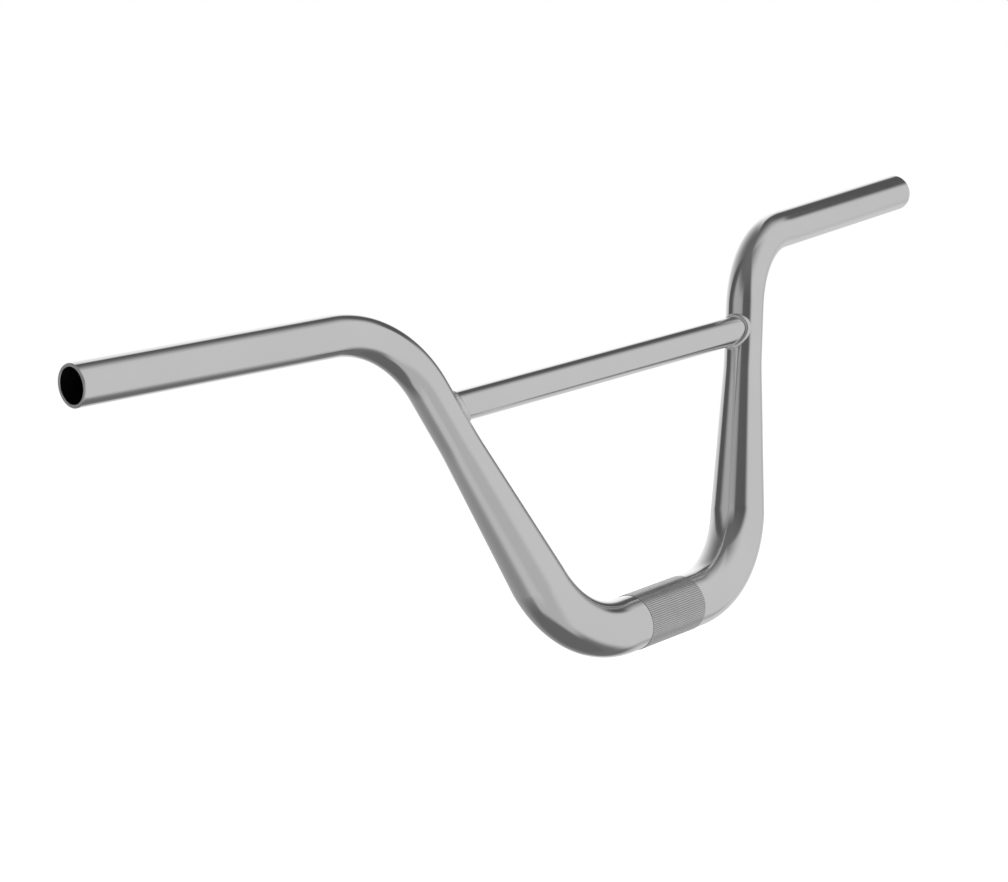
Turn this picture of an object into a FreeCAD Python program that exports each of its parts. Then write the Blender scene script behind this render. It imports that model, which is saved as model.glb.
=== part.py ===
import FreeCAD, Part
import math
import os

# Bicycle handlebar: one bent and tapered tube, a crossbar between its legs and a weld bead at each joint.
# Millimetres. The origin is the middle of the stem clamp, X runs along the clamp and Z up the rise.
# The grips sweep back towards plus Y, so minus Y is the front.

# Driving dimensions of the bent shape
overall_width = 737.0
grip_rise = 199.5
lower_corner_half_span = 76.5
leg_angle = 65.7
backsweep = 6.8
upsweep = 2.0
lower_bend_radius = 66.5
upper_bend_radius = 67.0

# Driving dimensions of the tube
clamp_diameter = 31.8
large_diameter = 31.3
grip_diameter = 22.2
large_wall = 2.3
grip_wall = 1.8
taper_blend_length = 12.0
end_chamfer = 0.4

# Driving dimensions of the knurl round the clamp zone
knurl_length = 50.0
knurl_lines = 84
knurl_depth = 0.4
knurl_crest_share = 0.36
knurl_root_share = 0.16

# Driving dimensions of the crossbar and its welds
crossbar_height = 142.0
crossbar_diameter = 17.0
crossbar_wall = 1.5
weld_radius = 2.2
taper_weld_gap = 0.2

# Sizes that follow from those above
clamp_r = clamp_diameter / 2
large_r = large_diameter / 2
grip_r = grip_diameter / 2
crossbar_r = crossbar_diameter / 2
large_bore_r = large_r - large_wall
grip_bore_r = grip_r - grip_wall
half_width = overall_width / 2
half_knurl = knurl_length / 2

V = FreeCAD.Vector
X_AXIS = V(1, 0, 0)
ORIGIN = V(0, 0, 0)


def unit(vector):
    """A copy of a vector with length one."""
    copy = V(vector)
    copy.normalize()
    return copy


def angle_between(a, b):
    """The angle in degrees between two unit vectors."""
    return math.degrees(math.acos(max(-1.0, min(1.0, a.dot(b)))))


# Directions of the straight stretches on the right-hand side
leg_turn = math.radians(leg_angle)
sweep_turn = math.radians(backsweep)
lift_turn = math.radians(upsweep)
leg_dir = V(math.cos(leg_turn), 0, math.sin(leg_turn))
grip_dir = V(
    math.cos(lift_turn) * math.cos(sweep_turn),
    math.cos(lift_turn) * math.sin(sweep_turn),
    math.sin(lift_turn),
)

# Leg and grip lengths between corners, from the overall width and the rise
across = half_width - lower_corner_half_span
spread = leg_dir.x * grip_dir.z - leg_dir.z * grip_dir.x
leg_length = (across * grip_dir.z - grip_rise * grip_dir.x) / spread
grip_length = (leg_dir.x * grip_rise - leg_dir.z * across) / spread

# Corners, and the points where each bend starts and stops
lower_bend = angle_between(X_AXIS, leg_dir)
upper_bend = angle_between(leg_dir, grip_dir)
lower_set = lower_bend_radius * math.tan(math.radians(lower_bend) / 2)
upper_set = upper_bend_radius * math.tan(math.radians(upper_bend) / 2)
lower_corner = V(lower_corner_half_span, 0, 0)
upper_corner = lower_corner + leg_dir * leg_length
bar_end = upper_corner + grip_dir * grip_length
lower_start = lower_corner - X_AXIS * lower_set
leg_start = lower_corner + leg_dir * lower_set
leg_straight = leg_length - lower_set - upper_set
leg_end = upper_corner - leg_dir * upper_set
grip_start = upper_corner + grip_dir * upper_set

# The taper ends just below the lower toe of the weld
weld_toe = (crossbar_height - crossbar_r - grip_r * leg_dir.x) / leg_dir.z - weld_radius
taper_length = weld_toe - taper_weld_gap - lower_set
taper_cone_length = taper_length - taper_blend_length


def rod(radius, start, end):
    """A solid cylinder between two points."""
    return Part.makeCylinder(radius, (end - start).Length, start, unit(end - start))


def bent_rod(radius, start, dir_in, dir_out, bend_radius):
    """A solid round bar that turns from one direction to another."""
    inward = unit(dir_out - dir_in * dir_in.dot(dir_out))
    centre = start + inward * bend_radius
    disc = Part.Face(Part.Wire(Part.makeCircle(radius, start, dir_in)))
    return disc.revolve(centre, dir_in.cross(inward), angle_between(dir_in, dir_out))


def tapered_rod(big_r, small_r):
    """The solid leg: a cone from the large radius, a blend into the small radius, then a plain rod."""
    drop = big_r - small_r
    reach = taper_length + taper_cone_length
    slope = 2 * math.atan((math.hypot(reach, 2 * drop) - reach) / (2 * drop))
    blend_radius = taper_blend_length / math.sin(slope)

    def on_blend(turn):
        radius = small_r + blend_radius * (1 - math.cos(turn))
        return V(radius, 0, taper_length - blend_radius * math.sin(turn))

    outline = [
        Part.makeLine(ORIGIN, V(big_r, 0, 0)),
        Part.makeLine(V(big_r, 0, 0), on_blend(slope)),
        Part.Arc(on_blend(slope), on_blend(slope / 2), on_blend(0)).toShape(),
        Part.makeLine(on_blend(0), V(small_r, 0, leg_straight)),
        Part.makeLine(V(small_r, 0, leg_straight), V(0, 0, leg_straight)),
        Part.makeLine(V(0, 0, leg_straight), ORIGIN),
    ]
    leg = Part.Face(Part.Wire(outline)).revolve(ORIGIN, V(0, 0, 1), 360)
    turn = FreeCAD.Rotation(V(0, 0, 1), leg_dir)
    leg.Placement = FreeCAD.Placement(leg_start, turn)
    return leg


def grip_rod(radius, chamfer):
    """The solid grip stretch, broken at its outer edge."""
    body = rod(radius, grip_start, bar_end - grip_dir * chamfer)
    tip = Part.makeCone(radius, radius - chamfer, chamfer, bar_end - grip_dir * chamfer, grip_dir)
    return body.fuse(tip)


def mirrored(shape):
    """The same shape on the other side of the middle plane."""
    return shape.mirror(ORIGIN, X_AXIS)


def knurled_rod():
    """The solid clamp zone, with straight teeth that run along the bar."""
    root_r = clamp_r - knurl_depth
    pitch = 2 * math.pi / knurl_lines
    half_crest = pitch * knurl_crest_share / 2
    half_root = pitch * knurl_root_share / 2

    def at(radius, turn):
        return V(-half_knurl, radius * math.cos(turn), radius * math.sin(turn))

    edges = []
    for line in range(knurl_lines):
        middle = line * pitch
        valley = middle + pitch / 2
        following = middle + pitch
        crest_from = at(clamp_r, middle - half_crest)
        crest_to = at(clamp_r, middle + half_crest)
        root_from = at(root_r, valley - half_root)
        root_to = at(root_r, valley + half_root)
        next_crest = at(clamp_r, following - half_crest)
        edges.append(Part.Arc(crest_from, at(clamp_r, middle), crest_to).toShape())
        edges.append(Part.makeLine(crest_to, root_from))
        edges.append(Part.Arc(root_from, at(root_r, valley), root_to).toShape())
        edges.append(Part.makeLine(root_to, next_crest))
    section = Part.Face(Part.Wire(edges))
    return section.extrude(X_AXIS * knurl_length)


# The outside of the bent tube, as a solid bar
shoulder = rod(large_r, X_AXIS * half_knurl, lower_start)
outer_lower = bent_rod(large_r, lower_start, X_AXIS, leg_dir, lower_bend_radius)
outer_leg = tapered_rod(large_r, grip_r)
outer_upper = bent_rod(grip_r, leg_end, leg_dir, grip_dir, upper_bend_radius)
outer_grip = grip_rod(grip_r, end_chamfer)
outer_side = shoulder.fuse([outer_lower, outer_leg, outer_upper, outer_grip])
outer = knurled_rod().fuse([outer_side, mirrored(outer_side)])

# The bore that runs through the whole tube
bore_middle = rod(large_bore_r, ORIGIN, lower_start)
bore_lower = bent_rod(large_bore_r, lower_start, X_AXIS, leg_dir, lower_bend_radius)
bore_leg = tapered_rod(large_bore_r, grip_bore_r)
bore_upper = bent_rod(grip_bore_r, leg_end, leg_dir, grip_dir, upper_bend_radius)
bore_grip = rod(grip_bore_r, grip_start, bar_end + grip_dir)
bore_side = bore_middle.fuse([bore_lower, bore_leg, bore_upper, bore_grip])
bore = bore_side.fuse(mirrored(bore_side))

main_tube = outer.cut(bore).removeSplitter()

# The crossbar, coped at both ends to the round of the legs
leg_core_right = rod(grip_r, leg_start, leg_end + leg_dir * upper_set)
leg_core_left = mirrored(leg_core_right)
joint_x = lower_corner_half_span + crossbar_height / math.tan(leg_turn)
left_joint = V(-joint_x, 0, crossbar_height)
right_joint = V(joint_x, 0, crossbar_height)
crossbar_core = rod(crossbar_r, left_joint, right_joint)
crossbar_bore = rod(crossbar_r - crossbar_wall, left_joint, right_joint)
coped = crossbar_core.cut(crossbar_bore).cut(leg_core_right).cut(leg_core_left)
crossbar = min(coped.Solids, key=lambda solid: abs(solid.CenterOfMass.x))


def on_joint(edge):
    """Whether an edge is where the crossbar's outside meets the right leg's outside."""
    for point in edge.discretize(7):
        from_leg = (point - leg_start).cross(leg_dir).Length
        from_bar = math.hypot(point.y, point.z - crossbar_height)
        if abs(from_leg - grip_r) > 0.01 or abs(from_bar - crossbar_r) > 0.01:
            return False
    return True


# The weld bead on the right, a round bead laid along the joint, and its mirror image on the left
half_bar = rod(crossbar_r, V(0, 0, crossbar_height), right_joint)
joined = leg_core_right.fuse(half_bar).removeSplitter()
seam = Part.Wire(Part.sortEdges([edge for edge in joined.Edges if on_joint(edge)])[0])
seam_start = seam.OrderedEdges[0]
bead_centre = seam_start.valueAt(seam_start.FirstParameter)
bead_heading = seam_start.tangentAt(seam_start.FirstParameter)
bead_circle = Part.Wire(Part.makeCircle(weld_radius, bead_centre, bead_heading))
bead = seam.makePipeShell([bead_circle], True, True)
weld_body = bead.cut(leg_core_right).cut(half_bar)
weld_right = max(weld_body.Solids, key=lambda solid: solid.Volume)
weld_left = mirrored(weld_right)

os.makedirs("parts", exist_ok=True)
main_tube.exportStep("parts/main_tube.step")
crossbar.exportStep("parts/crossbar.step")
weld_left.exportStep("parts/weld_bead_left.step")
weld_right.exportStep("parts/weld_bead_right.step")
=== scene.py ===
import math

import bmesh
import bpy
from mathutils import Matrix, Vector


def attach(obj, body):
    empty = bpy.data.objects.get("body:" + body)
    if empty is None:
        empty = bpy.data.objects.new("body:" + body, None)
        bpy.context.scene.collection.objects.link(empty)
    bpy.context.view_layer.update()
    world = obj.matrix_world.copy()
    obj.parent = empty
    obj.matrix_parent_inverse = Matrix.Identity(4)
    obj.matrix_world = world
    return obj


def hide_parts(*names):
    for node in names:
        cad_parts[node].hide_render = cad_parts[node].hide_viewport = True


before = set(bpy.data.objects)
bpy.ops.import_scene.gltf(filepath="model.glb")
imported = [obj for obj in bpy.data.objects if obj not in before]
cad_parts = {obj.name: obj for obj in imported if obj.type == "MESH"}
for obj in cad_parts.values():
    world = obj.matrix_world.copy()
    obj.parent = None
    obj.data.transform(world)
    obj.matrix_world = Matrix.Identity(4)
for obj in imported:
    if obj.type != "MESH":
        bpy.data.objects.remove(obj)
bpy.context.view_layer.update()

# Bicycle handlebar, in metres. The origin is the middle of the stem clamp, X runs along the clamp,
# Z up the rise and Y back towards the rider.

# Sizes of the bent tube
HALF_WIDTH = 0.3685
GRIP_RISE = 0.1995
LOWER_CORNER = 0.0765
LEG_ANGLE = math.radians(65.7)
BACKSWEEP = math.radians(6.8)
UPSWEEP = math.radians(2.0)
LOWER_BEND_RADIUS = 0.0665
UPPER_BEND_RADIUS = 0.067
CLAMP_R = 0.0159
LARGE_R = 0.01565
GRIP_R = 0.0111
LARGE_BORE_R = 0.01335
GRIP_BORE_R = 0.0093
TAPER_BLEND = 0.012
TAPER_WELD_GAP = 0.0002
END_CHAMFER = 0.0004

# Sizes of the knurl, with the places of a tooth's four points as shares of the pitch
HALF_KNURL = 0.025
KNURL_LINES = 84
KNURL_DEPTH = 0.00012
KNURL_RUNOUT = 0.00025
CREST_POINTS = (-0.25, 0.25)
GROOVE_POINTS = (0.33, 0.67)

# A face this near to the top of a tooth, as a share of the knurl's depth, is part of its flat top
CREST_BAND = 0.2

# Sizes of the crossbar and the welds
CROSSBAR_Z = 0.142
CROSSBAR_R = 0.0085
CROSSBAR_BORE_R = 0.007
WELD_R = 0.0022

# Form of a weld bead, as shares of its radius: its height on top of the crossbar, how much higher it is
# below, its spread along the crossbar, its plain size, and what the ripples and the welder's hand add
WELD_HEIGHT = 0.65
WELD_SAG = 0.25
WELD_REACH = 1.1
WELD_BODY = 0.93
RIPPLE_SWELL = 0.035
HAND_SWELL = 0.015

# How many ripples a bead has and how far they trail in its middle, the powers that round the ripples
# and square the bead, and the waves of the welder's hand
RIPPLES = 34
RIPPLE_LAG = 0.55
RIPPLE_POWER = 0.8
SQUARE_POWER = 2.6
SLOW_WAVES = 3
SLOW_OFFSET = 7
QUICK_WAVES = 7
QUICK_OFFSET = 2

# Steps of the meshes, and where the rings along the leg and the crossbar lie
KNURL_POINTS = CREST_POINTS + GROOVE_POINTS
ROUND = KNURL_LINES * len(KNURL_POINTS)
CROSSBAR_ROUND = 168
WELD_ROUND = 24
RIPPLE_STEPS = 9
LOWER_BEND_STEPS = 30
UPPER_BEND_STEPS = 28
BORE_BEND_STEPS = 14
CONE_RINGS = (0.0006, 0.02, 0.04, 0.06)
BLEND_SHARES = (-0.05, 0.15, 0.35, 0.55, 0.75, 1.0)
CROSSBAR_RINGS = (0.05, 0.05, 0.012, 0.006)
MERGE_DISTANCE = 0.000002

# Edges that turn more than this stay crisp
SHARP_ANGLE = math.radians(30.0)

ORIGIN = Vector((0.0, 0.0, 0.0))
NO_SHIFT = Vector((0.0, 0.0, 0.0))
X_AXIS = Vector((1.0, 0.0, 0.0))
LEG_DIR = Vector((math.cos(LEG_ANGLE), 0.0, math.sin(LEG_ANGLE)))
GRIP_DIR = Vector((
    math.cos(UPSWEEP) * math.cos(BACKSWEEP),
    math.cos(UPSWEEP) * math.sin(BACKSWEEP),
    math.sin(UPSWEEP),
))

# Lengths between the corners, and where each stretch starts and stops
ACROSS = HALF_WIDTH - LOWER_CORNER
SPREAD = LEG_DIR.x * GRIP_DIR.z - LEG_DIR.z * GRIP_DIR.x
LEG_LENGTH = (ACROSS * GRIP_DIR.z - GRIP_RISE * GRIP_DIR.x) / SPREAD
GRIP_LENGTH = (LEG_DIR.x * GRIP_RISE - LEG_DIR.z * ACROSS) / SPREAD
UPPER_BEND = LEG_DIR.angle(GRIP_DIR)
LOWER_SET = LOWER_BEND_RADIUS * math.tan(LEG_ANGLE / 2)
UPPER_SET = UPPER_BEND_RADIUS * math.tan(UPPER_BEND / 2)
LEG_STRAIGHT = LEG_LENGTH - LOWER_SET - UPPER_SET
GRIP_STRAIGHT = GRIP_LENGTH - UPPER_SET
WELD_TOE = (CROSSBAR_Z - CROSSBAR_R - GRIP_R * LEG_DIR.x) / LEG_DIR.z - WELD_R
TAPER_LENGTH = WELD_TOE - TAPER_WELD_GAP - LOWER_SET
TAPER_CONE = TAPER_LENGTH - TAPER_BLEND
LOWER_START = X_AXIS * (LOWER_CORNER - LOWER_SET)
LEG_START = X_AXIS * LOWER_CORNER + LEG_DIR * LOWER_SET
LEG_END = LEG_START + LEG_DIR * LEG_STRAIGHT
GRIP_START = X_AXIS * LOWER_CORNER + LEG_DIR * LEG_LENGTH + GRIP_DIR * UPPER_SET
BAR_END = GRIP_START + GRIP_DIR * GRIP_STRAIGHT


# Mesh helpers


class Ring:
    """The open end of a tube that is being drawn out: its edges, its middle and its radius."""

    def __init__(self, bm, edges, middle, radius):
        self.bm = bm
        self.edges = edges
        self.middle = middle.copy()
        self.radius = radius

    def verts(self):
        """The ring's points."""
        return list({vert for edge in self.edges for vert in edge.verts})

    def draw(self, shift, radius=None):
        """Extrude the ring along a shift, and size it to a new radius."""
        grown = bmesh.ops.extrude_edge_only(self.bm, edges=self.edges)["geom"]
        verts = [part for part in grown if isinstance(part, bmesh.types.BMVert)]
        edges = [part for part in grown if isinstance(part, bmesh.types.BMEdge)]
        kept = set(verts)
        self.edges = [edge for edge in edges if kept.issuperset(edge.verts)]
        bmesh.ops.translate(self.bm, verts=verts, vec=shift)
        self.middle += shift
        if radius is not None:
            factor = radius / self.radius
            away = Matrix.Translation(-self.middle)
            bmesh.ops.scale(self.bm, verts=verts, vec=(factor, factor, factor), space=away)
            self.radius = radius

    def bend(self, heading, new_heading, bend_radius, steps):
        """Spin the ring round a bend, from one heading to another."""
        inward = (new_heading - heading * heading.dot(new_heading)).normalized()
        centre = self.middle + inward * bend_radius
        axis = heading.cross(inward).normalized()
        angle = heading.angle(new_heading)
        spun = bmesh.ops.spin(
            self.bm, geom=self.edges, cent=centre, axis=axis, dvec=NO_SHIFT,
            angle=angle, steps=steps, use_merge=False, use_duplicate=False,
        )["geom_last"]
        self.edges = [part for part in spun if isinstance(part, bmesh.types.BMEdge)]
        self.middle = centre + Matrix.Rotation(angle, 3, axis) @ (self.middle - centre)


def taper_radius(big_r, small_r, along):
    """Radius of the tapered leg at a distance from where the cone starts."""
    drop = big_r - small_r
    reach = TAPER_LENGTH + TAPER_CONE
    slope = 2 * math.atan((math.hypot(reach, 2 * drop) - reach) / (2 * drop))
    blend_radius = TAPER_BLEND / math.sin(slope)
    if along >= TAPER_LENGTH:
        return small_r
    if along >= TAPER_CONE:
        rest = TAPER_LENGTH - along
        return small_r + blend_radius - math.sqrt(blend_radius ** 2 - rest ** 2)
    cone_end = small_r + blend_radius * (1 - math.cos(slope))
    return big_r + (cone_end - big_r) * along / TAPER_CONE


def draw_taper(ring, start, places, big_r, small_r):
    """Draw a ring along the leg through places measured from where the cone starts."""
    for along in places:
        ring.draw(LEG_DIR * (along - start), taper_radius(big_r, small_r, along))
        start = along


def leg_face_x(y, z):
    """Where the inner face of the right leg lies along X, at a depth and a height."""
    half_chord = math.sqrt(GRIP_R ** 2 - y ** 2)
    return LOWER_CORNER + z / math.tan(LEG_ANGLE) - half_chord / math.sin(LEG_ANGLE)


def seat_on_leg(ring):
    """Slide a ring's points along X onto the right leg."""
    for vert in ring.verts():
        vert.co.x = leg_face_x(vert.co.y, vert.co.z)


def mirror_across(bm):
    """Add the left half of a piece from its right half."""
    geom = bm.verts[:] + bm.edges[:] + bm.faces[:]
    bmesh.ops.mirror(bm, geom=geom, matrix=Matrix.Identity(4), merge_dist=MERGE_DISTANCE, axis="X")


def put_in_scene(name, data):
    """Make an object from a mesh, a camera or a lamp."""
    made = bpy.data.objects.new(name, data)
    bpy.context.scene.collection.objects.link(made)
    return made


def finish_piece(bm, name, materials):
    """Turn a bmesh into a mesh object that rides on the bar."""
    bmesh.ops.remove_doubles(bm, verts=bm.verts[:], dist=MERGE_DISTANCE)
    bmesh.ops.recalc_face_normals(bm, faces=bm.faces[:])
    for edge in bm.edges:
        sides = [face.smooth for face in edge.link_faces]
        edge.smooth = all(sides) and edge.calc_face_angle(0.0) < SHARP_ANGLE
    mesh = bpy.data.meshes.new(name)
    bm.to_mesh(mesh)
    bm.free()
    for material in materials:
        mesh.materials.append(material)
    piece = put_in_scene(name, mesh)
    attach(piece, "root")
    return piece


# Materials

# Most of a noise lies between these two values, so they become the ends of a range
NOISE_LOW = 0.3
NOISE_HIGH = 0.7


def new_metal(name):
    """A bare metal, with its nodes, links and shader at hand."""
    material = bpy.data.materials.new(name)
    material.use_nodes = True
    nodes = material.node_tree.nodes
    shader = nodes["Principled BSDF"]
    shader.inputs["Metallic"].default_value = 1.0
    return material, nodes, material.node_tree.links, shader


def add_noise(nodes, links, scale, detail):
    """Noise on the piece's own coordinates."""
    place = nodes.new("ShaderNodeTexCoord")
    noise = nodes.new("ShaderNodeTexNoise")
    noise.inputs["Scale"].default_value = scale
    noise.inputs["Detail"].default_value = detail
    links.new(place.outputs["Object"], noise.inputs["Vector"])
    return noise.outputs["Fac"]


def add_roughness(nodes, links, shader, source, low, high):
    """A roughness that varies between two values."""
    spread = nodes.new("ShaderNodeMapRange")
    spread.inputs["From Min"].default_value = NOISE_LOW
    spread.inputs["From Max"].default_value = NOISE_HIGH
    spread.inputs["To Min"].default_value = low
    spread.inputs["To Max"].default_value = high
    links.new(source, spread.inputs["Value"])
    links.new(spread.outputs["Result"], shader.inputs["Roughness"])


def add_tint(nodes, links, shader, source, dark, light):
    """A grey that varies between two levels."""
    ramp = nodes.new("ShaderNodeValToRGB")
    for stop, place, grey in zip(ramp.color_ramp.elements, (NOISE_LOW, NOISE_HIGH), (dark, light)):
        stop.position = place
        stop.color = (grey, grey, grey, 1.0)
    links.new(source, ramp.inputs["Fac"])
    links.new(ramp.outputs["Color"], shader.inputs["Base Color"])


def add_bump(nodes, links, shader, source, depth):
    """A grain of a given depth."""
    bump = nodes.new("ShaderNodeBump")
    bump.inputs["Strength"].default_value = 1.0
    bump.inputs["Distance"].default_value = depth
    links.new(source, bump.inputs["Height"])
    links.new(bump.outputs["Normal"], shader.inputs["Normal"])


def polished_aluminium():
    """Bare polished tube: slow changes of tone and gloss, and a grain too small to see at a distance."""
    material, nodes, links, shader = new_metal("polished_aluminium")
    cloud = add_noise(nodes, links, scale=22.0, detail=3.0)
    add_tint(nodes, links, shader, cloud, dark=0.885, light=0.915)
    haze = add_noise(nodes, links, scale=60.0, detail=4.0)
    add_roughness(nodes, links, shader, haze, low=0.10, high=0.135)
    grain = add_noise(nodes, links, scale=2600.0, detail=2.0)
    add_bump(nodes, links, shader, grain, depth=0.0000012)
    return material


def knurl_metal_and_shade(name, dark, light):
    """Rolled knurl: the same metal, rougher where the rolls pressed it and in a darker grey than the polished
    tube; the grooves' copy is darker still, as painted shade.
    """
    material, nodes, links, shader = new_metal(name)
    cloud = add_noise(nodes, links, scale=90.0, detail=3.0)
    add_tint(nodes, links, shader, cloud, dark, light)
    add_roughness(nodes, links, shader, cloud, low=0.20, high=0.26)
    return material


def cut_aluminium():
    """Sawn and deburred tube end."""
    material, nodes, links, shader = new_metal("cut_aluminium")
    cloud = add_noise(nodes, links, scale=1500.0, detail=3.0)
    add_tint(nodes, links, shader, cloud, dark=0.78, light=0.88)
    shader.inputs["Roughness"].default_value = 0.3
    return material


def bore_painted_shade():
    """Drawn inside of the tube, unpolished, and painted near black as the shade deep in the bore."""
    material, nodes, links, shader = new_metal("bore_painted_shade")
    shader.inputs["Metallic"].default_value = 0.0
    streak = add_noise(nodes, links, scale=300.0, detail=3.0)
    add_tint(nodes, links, shader, streak, dark=0.004, light=0.009)
    shader.inputs["Roughness"].default_value = 0.9
    shader.inputs["Specular IOR Level"].default_value = 0.1
    return material


def weld_aluminium():
    """Weld metal: bright and satin."""
    material, nodes, links, shader = new_metal("weld_aluminium")
    cloud = add_noise(nodes, links, scale=260.0, detail=3.0)
    add_tint(nodes, links, shader, cloud, dark=0.92, light=0.97)
    add_roughness(nodes, links, shader, cloud, low=0.36, high=0.42)
    return material


POLISHED = polished_aluminium()
KNURL_CREST = knurl_metal_and_shade("knurl_crest", dark=0.71, light=0.76)
# The grooves' darker grey is painted shade: a shaded copy of the crests' metal
KNURL_GROOVE_SHADE = knurl_metal_and_shade("knurl_groove_shade", dark=0.46, light=0.51)
CUT = cut_aluminium()
# The bore's near-black grey is painted shade, not the metal's own colour
BORE_SHADE = bore_painted_shade()
WELD = weld_aluminium()

# The bent tube's finishes and painted shades (the bore, the knurl's grooves), in the order that its faces
# number them
TUBE_FINISHES_AND_SHADES = [POLISHED, KNURL_CREST, CUT, BORE_SHADE, KNURL_GROOVE_SHADE]
ON_TUBE, ON_CREST, ON_CUT, IN_BORE, IN_GROOVE_SHADE = range(len(TUBE_FINISHES_AND_SHADES))


# The bent tube


def shape_knurl(bm):
    """Move the points of the clamp's circle to the crests and grooves of the knurl."""
    per_line = len(KNURL_POINTS)
    pitch = 2 * math.pi / KNURL_LINES
    for vert in bm.verts:
        step = round(math.atan2(vert.co.z, vert.co.y) / pitch * per_line)
        line, point = divmod(step, per_line)
        angle = (line + KNURL_POINTS[point]) * pitch
        radius = CLAMP_R if point < len(CREST_POINTS) else CLAMP_R - KNURL_DEPTH
        vert.co = Vector((0.0, radius * math.cos(angle), radius * math.sin(angle)))


def knurl_crest_or_groove_shade(face):
    """Which material a face of the knurl has: the flat tops of the teeth keep the knurl's grey, the rest take
    the darker grey that paints the grooves' shade.
    """
    middle = face.calc_center_median()
    on_top = math.hypot(middle.y, middle.z) > CLAMP_R - KNURL_DEPTH * CREST_BAND
    return ON_CREST if on_top else IN_GROOVE_SHADE


def build_main_tube():
    """Draw the right half of the tube from the clamp to its end and back through the bore, then mirror it."""
    bm = bmesh.new()
    turn = Matrix.Rotation(math.pi / 2, 4, "Y")
    bmesh.ops.create_circle(bm, cap_ends=False, segments=ROUND, radius=CLAMP_R, matrix=turn)
    shape_knurl(bm)

    # The knurl, which runs out into the plain shoulder, and the lower bend
    ring = Ring(bm, bm.edges[:], ORIGIN, CLAMP_R)
    ring.draw(X_AXIS * (HALF_KNURL - KNURL_RUNOUT))
    ring.draw(X_AXIS * KNURL_RUNOUT)
    for vert in ring.verts():
        factor = LARGE_R / math.hypot(vert.co.y, vert.co.z)
        bmesh.ops.scale(bm, verts=[vert], vec=(1.0, factor, factor))
    ring.radius = LARGE_R
    toothed = set(bm.faces)
    ring.draw(LOWER_START - ring.middle)
    ring.bend(X_AXIS, LEG_DIR, LOWER_BEND_RADIUS, LOWER_BEND_STEPS)

    # The taper, with close rings where the cone starts so that its edge shows, then the grip stretch
    blend_rings = tuple(TAPER_CONE + TAPER_BLEND * share for share in BLEND_SHARES)
    draw_taper(ring, 0.0, CONE_RINGS + blend_rings, LARGE_R, GRIP_R)
    ring.draw(LEG_END - ring.middle)
    ring.bend(LEG_DIR, GRIP_DIR, UPPER_BEND_RADIUS, UPPER_BEND_STEPS)
    ring.draw(GRIP_DIR * (GRIP_STRAIGHT / 2))
    ring.draw(BAR_END - GRIP_DIR * END_CHAMFER - ring.middle)

    # The cut end: a broken outer edge, a flat ring and a broken inner edge
    polished = set(bm.faces)
    ring.draw(GRIP_DIR * END_CHAMFER, GRIP_R - END_CHAMFER)
    ring.draw(NO_SHIFT, GRIP_BORE_R + END_CHAMFER / 2)
    ring.draw(GRIP_DIR * (-END_CHAMFER / 2), GRIP_BORE_R)

    # The bore, back to the middle of the bar
    outside = set(bm.faces)
    ring.draw(GRIP_START - ring.middle)
    ring.bend(-GRIP_DIR, -LEG_DIR, UPPER_BEND_RADIUS, BORE_BEND_STEPS)
    bore_rings = (TAPER_LENGTH, TAPER_LENGTH - TAPER_BLEND / 2, TAPER_CONE, 0.0)
    draw_taper(ring, LEG_STRAIGHT, bore_rings, LARGE_BORE_R, GRIP_BORE_R)
    ring.bend(-LEG_DIR, -X_AXIS, LOWER_BEND_RADIUS, BORE_BEND_STEPS)
    ring.draw(-ring.middle)

    # Faces in the bore take its painted shade, and the knurl's lower faces the painted shade of its grooves
    for face in bm.faces:
        if face in toothed:
            face.material_index = knurl_crest_or_groove_shade(face)
        elif face in polished:
            face.material_index = ON_TUBE
        elif face in outside:
            face.material_index = ON_CUT
        else:
            face.material_index = IN_BORE
        face.smooth = face.material_index in (ON_TUBE, IN_BORE)
    mirror_across(bm)
    piece = finish_piece(bm, "bent_tube", TUBE_FINISHES_AND_SHADES)
    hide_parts("main_tube")


# The crossbar


def build_crossbar():
    """Draw the right half of the crossbar out to the leg and back through its bore, then mirror it."""
    bm = bmesh.new()
    middle = Vector((0.0, 0.0, CROSSBAR_Z))
    place = Matrix.Translation(middle) @ Matrix.Rotation(math.pi / 2, 4, "Y")
    bmesh.ops.create_circle(
        bm, cap_ends=False, segments=CROSSBAR_ROUND, radius=CROSSBAR_R, matrix=place,
    )
    ring = Ring(bm, bm.edges[:], middle, CROSSBAR_R)
    for length in CROSSBAR_RINGS:
        ring.draw(X_AXIS * length)
    seat_on_leg(ring)
    outside = set(bm.faces)
    ring.draw(NO_SHIFT, CROSSBAR_BORE_R)
    seat_on_leg(ring)
    ring.draw(NO_SHIFT)
    for vert in ring.verts():
        vert.co.x = 0.0
    for face in bm.faces:
        face.smooth = face in outside
    mirror_across(bm)
    piece = finish_piece(bm, "cross_tube", [POLISHED])
    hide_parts("crossbar")


# The weld beads


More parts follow.
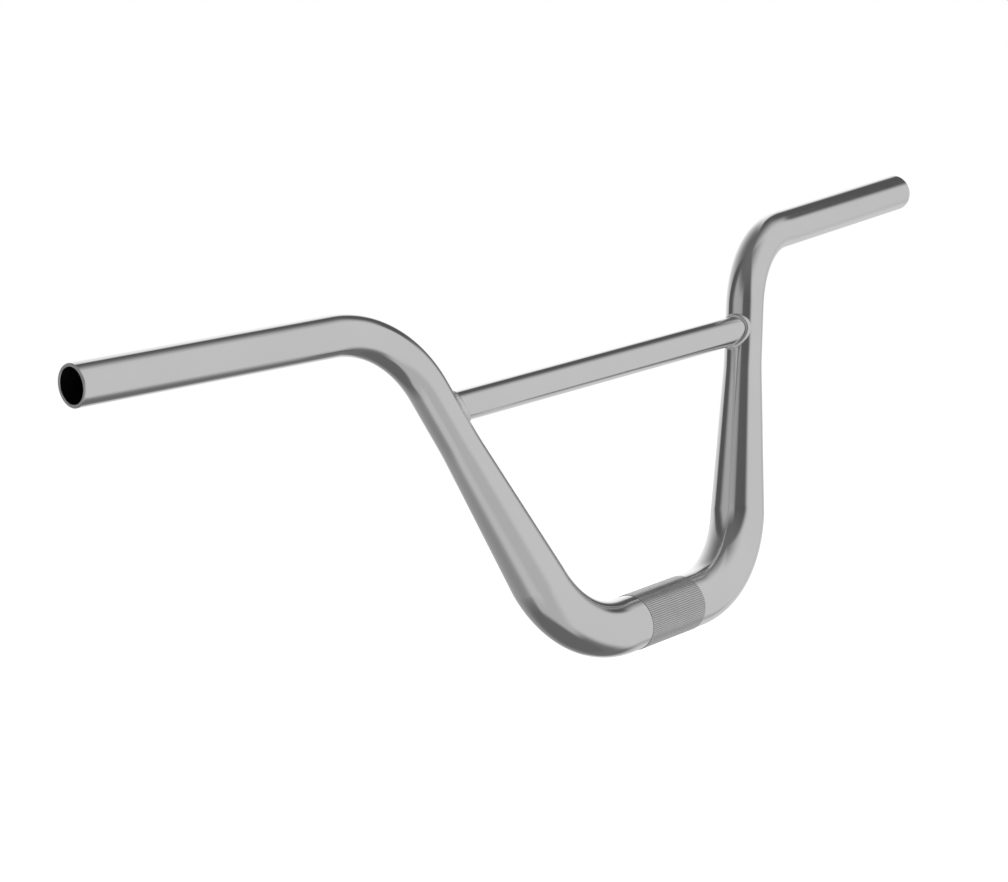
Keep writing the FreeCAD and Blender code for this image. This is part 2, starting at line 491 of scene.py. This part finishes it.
def build_weld(name, node, side, start):
    """A low bead in small overlapping ripples round the end of the crossbar, fuller below it."""
    bm = bmesh.new()
    top = Matrix.Translation((0.0, 0.0, CROSSBAR_Z + CROSSBAR_R))
    place = top @ Matrix.Rotation(math.pi / 2, 4, "X")
    made = bmesh.ops.create_circle(
        bm, cap_ends=False, segments=WELD_ROUND, radius=WELD_R, matrix=place,
    )
    edges = list({edge for vert in made["verts"] for edge in vert.link_edges})
    bmesh.ops.spin(
        bm, geom=edges, cent=(0.0, 0.0, CROSSBAR_Z), axis=X_AXIS, dvec=NO_SHIFT,
        angle=2 * math.pi, steps=RIPPLES * RIPPLE_STEPS, use_merge=True, use_duplicate=False,
    )
    bmesh.ops.remove_doubles(bm, verts=bm.verts[:], dist=MERGE_DISTANCE)
    for vert in bm.verts:
        # Where the point is round the crossbar, out from it and round the bead
        y = vert.co.y
        z = vert.co.z - CROSSBAR_Z
        turn = math.atan2(y, z)
        out = math.hypot(y, z) - CROSSBAR_R
        lean = math.atan2(out, -vert.co.x)

        # The ripples, the slow wander of the welder's hand and the squarer section
        phase = RIPPLES * turn / (2 * math.pi) + start + RIPPLE_LAG * math.sin(lean) ** 2
        ripple = math.sin(math.pi * (phase % 1.0)) ** RIPPLE_POWER
        slow_wave = math.sin(SLOW_WAVES * turn + SLOW_OFFSET * start)
        quick_wave = math.sin(QUICK_WAVES * turn + QUICK_OFFSET)
        swell = WELD_BODY + RIPPLE_SWELL * ripple + HAND_SWELL * (slow_wave + quick_wave)
        corner = abs(math.cos(lean)) ** SQUARE_POWER + abs(math.sin(lean)) ** SQUARE_POWER
        swell *= corner ** (-1 / SQUARE_POWER)

        # The seam, where the crossbar's outside meets the leg, and the point's place beside it
        seam_x = leg_face_x(CROSSBAR_R * math.sin(turn), CROSSBAR_Z + CROSSBAR_R * math.cos(turn))
        lift = WELD_HEIGHT + WELD_SAG * (1 - math.cos(turn)) / 2
        radius = CROSSBAR_R + out * swell * lift
        vert.co.x = side * (seam_x + vert.co.x * swell * WELD_REACH)
        vert.co.y = radius * math.sin(turn)
        vert.co.z = CROSSBAR_Z + radius * math.cos(turn)
    for face in bm.faces:
        face.smooth = True
    piece = finish_piece(bm, name, [WELD])
    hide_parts(node)


build_main_tube()
build_crossbar()
build_weld("left_weld", "weld_bead_left", side=-1.0, start=0.37)
build_weld("right_weld", "weld_bead_right", side=1.0, start=0.0)


# Camera: its place, its turns in radians and its focal length in pixels of a picture of a given width

CAMERA_PLACE = Vector((-1.422254, -1.138914, 0.206815))
CAMERA_YAW = 0.8613167
CAMERA_PITCH = 0.0510545
CAMERA_ROLL = 0.2258468
FOCAL_PIXELS = 3246.345
PICTURE_PIXELS = 1008
SENSOR_WIDTH = 36.0


def build_camera():
    """Aim the camera by its yaw and pitch, then roll it round its own line of sight."""
    ahead = Vector((
        math.sin(CAMERA_YAW) * math.cos(CAMERA_PITCH),
        math.cos(CAMERA_YAW) * math.cos(CAMERA_PITCH),
        -math.sin(CAMERA_PITCH),
    ))
    level_right = Vector((math.cos(CAMERA_YAW), -math.sin(CAMERA_YAW), 0.0))
    level_down = ahead.cross(level_right)
    right = level_right * math.cos(CAMERA_ROLL) + level_down * math.sin(CAMERA_ROLL)
    up = level_right * math.sin(CAMERA_ROLL) - level_down * math.cos(CAMERA_ROLL)
    turned = Matrix((right, up, -ahead)).transposed()
    lens = bpy.data.cameras.new("camera")
    lens.sensor_width = SENSOR_WIDTH
    lens.lens = FOCAL_PIXELS / PICTURE_PIXELS * SENSOR_WIDTH
    lens.clip_start = 0.05
    lens.clip_end = 100.0
    camera = put_in_scene("camera", lens)
    camera.matrix_world = Matrix.Translation(CAMERA_PLACE) @ turned.to_4x4()
    bpy.context.scene.camera = camera


# Studio: a dim room with soft boxes to the right and left, a card in front and a bright backdrop.
# Sides are degrees round from the camera, positive to its right, and heights are degrees up.

STUDIO_UP = Vector((0.0, -0.29, 0.957)).normalized()
CAMERA_HEADING = Vector((math.sin(CAMERA_YAW), math.cos(CAMERA_YAW), 0.0))
STUDIO_AHEAD = (CAMERA_HEADING - STUDIO_UP * CAMERA_HEADING.dot(STUDIO_UP)).normalized()
STUDIO_RIGHT = STUDIO_AHEAD.cross(STUDIO_UP)

# Levels of light of the room and the backdrop
WHITE = 1.0
FLOOR_NEAR = 0.132
FLOOR_FAR = 0.32
WALL_DROP = -0.23
CEILING_LIFT = 0.055
BACKDROP_SIDE = 0.55
BACKDROP_LEFT = 0.92
BACKDROP_RIGHT = 0.9
BACKDROP_LEAST = 0.12

# Where those levels ease in or out
FLOOR_EASE = (-66.0, -37.0)
WALL_EASE = (-35.0, 5.0)
CEILING_EASE = (35.0, 80.0)
BACKDROP_FOOT = (-45.0, 0.0)
BACKDROP_HEAD = (-8.0, 68.0)
BACKDROP_LEFT_EDGE = (-132.0, -122.0)
BACKDROP_RIGHT_EDGE = (156.0, 174.0)
BACKDROP_EASE = (120.0, 180.0)
BACKDROP_MIDDLE = (165.0, 180.0)

# How far the backdrop's edges lean with height, and how soon it covers the room
LEFT_LEAN = 0.2
RIGHT_LEAN = 0.5
BACKDROP_COVER = 4.0

# Panels: where the left, right, lower and upper edge of each starts and stops, and its level
FLOOR_SHADE = ((90.0, 115.0), (168.0, 182.0), (-64.0, -56.0), (-50.0, -43.0), 0.155)
FLOOR_SWEEP = ((126.0, 146.0), (200.0, 210.0), (-48.0, -36.0), (-14.0, 2.0), 0.62)
LEFT_BOX = ((-104.0, -82.0), (-31.0, -15.0), (-46.0, -38.0), (40.0, 66.0), 0.39)
FRONT_CARD = ((-42.0, -22.0), (46.0, 72.0), (-67.0, -58.0), (-6.0, 22.0), 0.45)
FRONT_STRIP = ((-75.0, -15.0), (0.0, 14.0), (-50.0, -38.0), (-34.0, -26.0), 0.52)
UPPER_WING = ((100.0, 120.0), (130.0, 175.0), (36.0, 50.0), (72.0, 100.0), 0.34)
RIGHT_BOX = ((34.0, 56.0), (120.0, 134.0), (-56.0, -40.0), (44.0, 96.0), 0.575)
RIGHT_WING = ((100.0, 116.0), (124.0, 156.0), (-36.0, -26.0), (38.0, 72.0), 0.575)
DARK_GAP = ((127.0, 138.0), (152.0, 168.0), (13.0, 21.0), (27.0, 36.0), 0.09)
PANELS = (
    FLOOR_SWEEP, LEFT_BOX, FRONT_CARD, FRONT_STRIP, UPPER_WING, RIGHT_BOX, RIGHT_WING, DARK_GAP,
)


def build_studio():
    """The world: what each direction shows, as a level of grey."""
    world = bpy.data.worlds.new("studio")
    bpy.context.scene.world = world
    world.use_nodes = True
    nodes = world.node_tree.nodes
    links = world.node_tree.links
    nodes.clear()
    towards = nodes.new("ShaderNodeTexCoord").outputs["Generated"]

    def feed(socket, value):
        """Give a socket a constant, or what another node puts out."""
        if isinstance(value, (int, float)):
            socket.default_value = value
        else:
            links.new(value, socket)

    def along(direction):
        """How far a view direction goes along another one."""
        dot = nodes.new("ShaderNodeVectorMath")
        dot.operation = "DOT_PRODUCT"
        dot.inputs[1].default_value = direction
        links.new(towards, dot.inputs[0])
        return dot.outputs["Value"]

    def calculate(operation, *values):
        """One step of arithmetic."""
        node = nodes.new("ShaderNodeMath")
        node.operation = operation
        for socket, value in zip(node.inputs, values):
            feed(socket, value)
        return node.outputs["Value"]

    def step(value, low, high, start=0.0, stop=1.0):
        """Ease from one level to another between two angles in degrees."""
        node = nodes.new("ShaderNodeMapRange")
        node.interpolation_type = "SMOOTHSTEP"
        node.inputs["From Min"].default_value = math.radians(low)
        node.inputs["From Max"].default_value = math.radians(high)
        node.inputs["To Min"].default_value = start
        node.inputs["To Max"].default_value = stop
        links.new(value, node.inputs["Value"])
        return node.outputs["Result"]

    side = calculate("ARCTAN2", along(STUDIO_RIGHT), along(-STUDIO_AHEAD))
    height = calculate("ARCSINE", along(STUDIO_UP))

    def leaning_side(lean):
        """The side that an edge sees when it leans with height."""
        return calculate("SUBTRACT", side, calculate("MULTIPLY", height, lean))

    def panel(left, right, low, high):
        """A soft box between two sides and two heights."""
        wide = calculate("MULTIPLY", step(side, *left), step(side, *right, 1.0, 0.0))
        tall = calculate("MULTIPLY", step(height, *low), step(height, *high, 1.0, 0.0))
        return calculate("MULTIPLY", wide, tall)

    def lay(base, mask, level):
        """Cover what is there with a panel of another level."""
        mix = nodes.new("ShaderNodeMix")
        mix.data_type = "FLOAT"
        feed(mix.inputs[0], mask)
        feed(mix.inputs[2], base)
        feed(mix.inputs[3], level)
        return mix.outputs[0]

    # The room: a floor that brightens outwards, dark walls and a ceiling a little lighter than they are
    floor = step(height, *FLOOR_EASE, FLOOR_NEAR, FLOOR_FAR)
    room = calculate("ADD", floor, step(height, *WALL_EASE, 0.0, WALL_DROP))
    room = calculate("ADD", room, step(height, *CEILING_EASE, 0.0, CEILING_LIFT))
    *shade_edges, shade_level = FLOOR_SHADE
    room = lay(room, panel(*shade_edges), shade_level)

    # The backdrop, brightest straight behind
    behind = calculate("ABSOLUTE", side)
    head = step(height, *BACKDROP_HEAD, 1.0, 0.0)
    tall = calculate("MULTIPLY", step(height, *BACKDROP_FOOT), head)
    left_edge = step(leaning_side(LEFT_LEAN), *BACKDROP_LEFT_EDGE, 1.0, 0.0)
    left_level = step(behind, *BACKDROP_EASE, BACKDROP_SIDE, BACKDROP_LEFT)
    left_part = calculate("MULTIPLY", left_edge, left_level)
    right_edge = step(leaning_side(RIGHT_LEAN), *BACKDROP_RIGHT_EDGE)
    right_part = calculate("MULTIPLY", right_edge, BACKDROP_RIGHT)
    backdrop_level = calculate("ADD", left_part, right_part)
    cover = calculate("MINIMUM", calculate("MULTIPLY", backdrop_level, BACKDROP_COVER), 1.0)
    backdrop = calculate("MULTIPLY", tall, cover)
    room = lay(room, backdrop, calculate("MAXIMUM", backdrop_level, BACKDROP_LEAST))

    # The sweep of the floor, and the soft boxes and cards round the bar
    for *edges, level in PANELS:
        room = lay(room, panel(*edges), level)

    # To the camera the studio is plain white, and so is the backdrop's middle where metal mirrors it
    path = nodes.new("ShaderNodeLightPath").outputs
    seen = calculate("MAXIMUM", path["Is Camera Ray"], path["Is Transmission Ray"])
    backdrop_middle = calculate("MULTIPLY", backdrop, step(behind, *BACKDROP_MIDDLE))
    mirrored = calculate("MULTIPLY", path["Is Glossy Ray"], backdrop_middle)
    shown = lay(room, calculate("MAXIMUM", seen, mirrored), WHITE)
    light = nodes.new("ShaderNodeBackground")
    links.new(shown, light.inputs["Color"])
    light.inputs["Strength"].default_value = 1.0
    output = nodes.new("ShaderNodeOutputWorld")
    links.new(light.outputs["Background"], output.inputs["Surface"])


# Floor and lamp

FLOOR_Z = -0.40
FLOOR_HALF_SIZE = 6.0
FLOOR_GREY = 0.8
FLOOR_GLOW = 0.5
LAMP_PLACE = Vector((0.6, -0.9, 2.4))
LAMP_AIM = Vector((-0.25, 0.35, -1.0))
LAMP_STRENGTH = 1.6
LAMP_SPREAD = math.radians(14.0)


def floor_paint():
    """Pale paint that looks white to the camera and still takes a shadow."""
    material = bpy.data.materials.new("floor_paint")
    material.use_nodes = True
    nodes = material.node_tree.nodes
    links = material.node_tree.links
    nodes.clear()
    paint = nodes.new("ShaderNodeBsdfDiffuse")
    paint.inputs["Color"].default_value = (FLOOR_GREY, FLOOR_GREY, FLOOR_GREY, 1.0)
    glow = nodes.new("ShaderNodeEmission")
    lift = nodes.new("ShaderNodeMath")
    lift.operation = "MULTIPLY"
    lift.inputs[1].default_value = FLOOR_GLOW
    links.new(nodes.new("ShaderNodeLightPath").outputs["Is Camera Ray"], lift.inputs[0])
    links.new(lift.outputs["Value"], glow.inputs["Strength"])
    both = nodes.new("ShaderNodeAddShader")
    links.new(paint.outputs["BSDF"], both.inputs[0])
    links.new(glow.outputs["Emission"], both.inputs[1])
    output = nodes.new("ShaderNodeOutputMaterial")
    links.new(both.outputs["Shader"], output.inputs["Surface"])
    return material


def build_floor():
    """Pale floor, well below the bar, which is held at its clamp."""
    bm = bmesh.new()
    place = Matrix.Translation((0.0, 0.0, FLOOR_Z))
    bmesh.ops.create_grid(bm, x_segments=2, y_segments=2, size=FLOOR_HALF_SIZE, matrix=place)
    mesh = bpy.data.meshes.new("floor")
    bm.to_mesh(mesh)
    bm.free()
    mesh.materials.append(floor_paint())
    floor = put_in_scene("floor", mesh)
    floor.visible_glossy = False


def build_lamp():
    """A wide soft lamp overhead that lights the floor and casts the bar's shadow on it."""
    light = bpy.data.lights.new("key_lamp", "SUN")
    light.energy = LAMP_STRENGTH
    light.angle = LAMP_SPREAD
    lamp = put_in_scene("key_lamp", light)
    aim = LAMP_AIM.to_track_quat("-Z", "Y").to_matrix().to_4x4()
    lamp.matrix_world = Matrix.Translation(LAMP_PLACE) @ aim
    lamp.visible_glossy = False
    lamp.visible_camera = False


build_camera()
build_studio()
build_floor()
build_lamp()
bpy.context.scene.view_settings.view_transform = "Standard"
